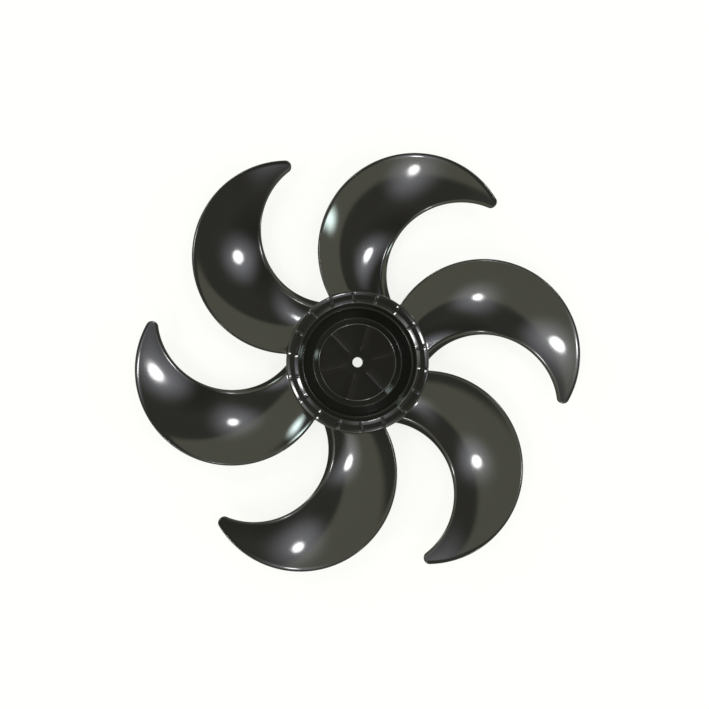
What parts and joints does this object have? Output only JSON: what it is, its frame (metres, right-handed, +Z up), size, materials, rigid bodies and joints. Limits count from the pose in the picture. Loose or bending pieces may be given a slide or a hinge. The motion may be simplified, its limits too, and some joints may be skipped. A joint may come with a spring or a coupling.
{
  "type": "pedestal fan blade",
  "caption": "Moulded pedestal fan blade with sickle-shaped swept blades round an open hub bowl with a round shaft bore; it pushes air when the motor shaft turns it.",
  "frame": {"origin": "centre of the hub's lower edge, on the axis of the shaft bore", "axes": "+Z runs up the shaft axis and out of the hub bowl's mouth; +X passes through the centre of one blade's concave edge arc"},
  "size_m": [0.3412, 0.353, 0.042],
  "materials": {
    "moulded_plastic": "gloss"
  },
  "bodies": {
    "root": {"fan_blade": "moulded_plastic"}
  },
  "joints": []
}
